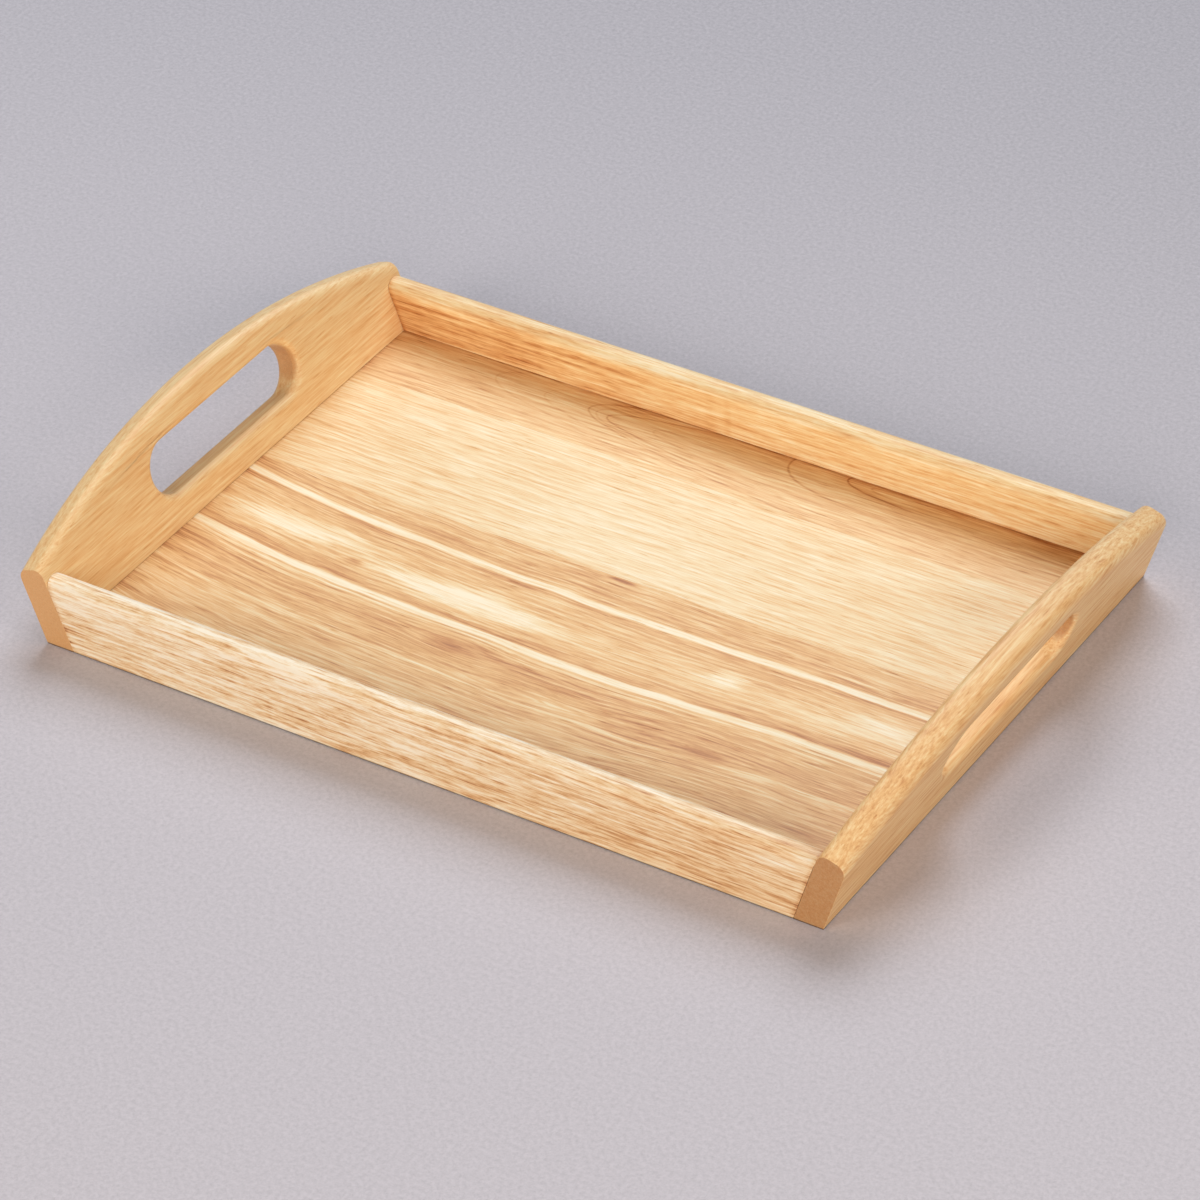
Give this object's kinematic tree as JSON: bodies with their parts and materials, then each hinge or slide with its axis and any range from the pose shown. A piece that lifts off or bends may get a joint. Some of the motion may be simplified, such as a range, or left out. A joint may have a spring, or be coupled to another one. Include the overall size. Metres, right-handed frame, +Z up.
{
  "type": "serving tray",
  "caption": "Rectangular wooden serving tray with straight side rails and outward-leaning arched ends, each with a round-ended hand hole.",
  "frame": {"origin": "middle of the base, on the surface the tray stands on", "axes": "+X along the length towards the right end board, +Y towards the back rail, +Z up"},
  "size_m": [0.4714, 0.3, 0.068],
  "materials": {
    "end_board_wood": "satin",
    "rail_wood": "satin",
    "floor_wood": "satin",
    "dowel_wood": "raw"
  },
  "bodies": {
    "root": {"left_end_board": "end_board_wood", "right_end_board": "end_board_wood", "front_rail": "rail_wood", "back_rail": "rail_wood", "floor_board_back": "floor_wood", "floor_board_middle": "floor_wood", "floor_board_front": "floor_wood", "dowel_front_left_1": "dowel_wood", "dowel_front_left_2": "dowel_wood", "dowel_back_left_1": "dowel_wood", "dowel_back_left_2": "dowel_wood", "dowel_front_right_1": "dowel_wood", "dowel_front_right_2": "dowel_wood", "dowel_back_right_1": "dowel_wood", "dowel_back_right_2": "dowel_wood"}
  },
  "joints": []
}
